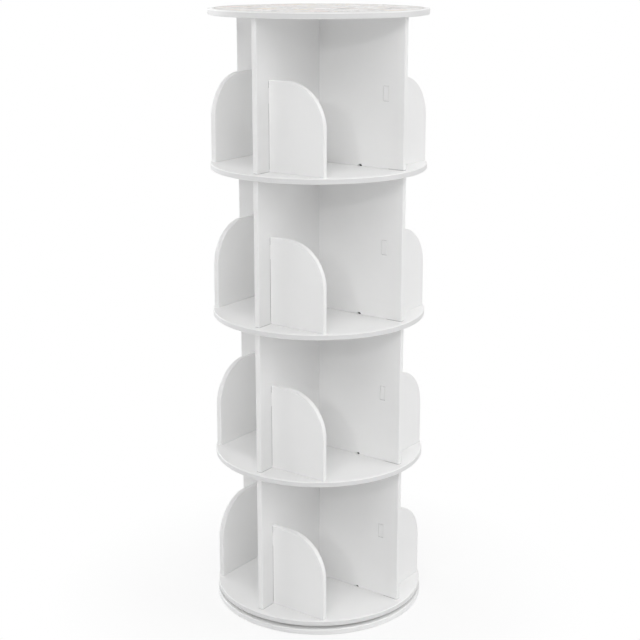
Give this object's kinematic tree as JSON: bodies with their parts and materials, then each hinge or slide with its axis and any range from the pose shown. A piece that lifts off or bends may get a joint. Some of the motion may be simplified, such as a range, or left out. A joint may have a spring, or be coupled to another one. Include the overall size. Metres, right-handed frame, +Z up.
{
  "type": "rotating media tower",
  "caption": "White revolving tower of round shelves on a flat base plate, with crossed walls and arched pinwheel baffles that keep books and media upright.",
  "frame": {"origin": "on the floor below the turning axis, level with the underside of the base pads", "axes": "+Z up along the turning axis; the crossed walls run along X and Y"},
  "size_m": [0.4519, 0.452, 1.2818],
  "materials": {
    "white_board": "white painted board with a smooth satin surface and softly rounded edges",
    "film_print": "matte printed film in pale neutral colours",
    "bearing_aluminium": "turned aluminium",
    "cage_plastic": "moulded natural plastic",
    "ball_steel": "polished bearing steel",
    "screw_steel": "black oxide steel",
    "dowel_wood": "bare beech",
    "pad_rubber": "matte non-slip rubber"
  },
  "bodies": {
    "base": {"base_disc": "white_board", "base_pads": "pad_rubber", "bearing_lower_ring": "bearing_aluminium", "lower_ring_screws": "screw_steel"},
    "cage": {"bearing_cage": "cage_plastic", "bearing_balls": "ball_steel"},
    "tower": {"bearing_upper_ring": "bearing_aluminium", "turntable_bolts": "screw_steel", "shelf_disc_1": "white_board", "shelf_disc_2": "white_board", "shelf_disc_3": "white_board", "shelf_disc_4": "white_board", "top_disc": "white_board", "top_film": "film_print", "wall_x_1": "white_board", "wall_y_1": "white_board", "wall_x_2": "white_board", "wall_y_2": "white_board", "wall_x_3": "white_board", "wall_y_3": "white_board", "wall_x_4": "white_board", "wall_y_4": "white_board", "baffle_right_1": "white_board", "baffle_back_1": "white_board", "baffle_left_1": "white_board", "baffle_front_1": "white_board", "baffle_right_2": "white_board", "baffle_back_2": "white_board", "baffle_left_2": "white_board", "baffle_front_2": "white_board", "baffle_right_3": "white_board", "baffle_back_3": "white_board", "baffle_left_3": "white_board", "baffle_front_3": "white_board", "baffle_right_4": "white_board", "baffle_back_4": "white_board", "baffle_left_4": "white_board", "baffle_front_4": "white_board", "shelf_screws": "screw_steel", "top_screws": "screw_steel", "through_dowels": "dowel_wood", "end_dowels": "dowel_wood", "baffle_dowels": "dowel_wood"}
  },
  "joints": [
    {"name": "tower_spin", "type": "hinge", "parent": "base", "child": "tower", "pos_m": [0, 0, 0.01775], "axis": [0, 0, 1], "continuous": true},
    {"name": "cage_spin", "type": "hinge", "parent": "base", "child": "cage", "pos_m": [0, 0, 0.01775], "axis": [0, 0, 1], "continuous": true}
  ],
  "couplings": [
    {"joint": "cage_spin", "follows": "tower_spin", "ratio": 0.4905}
  ]
}
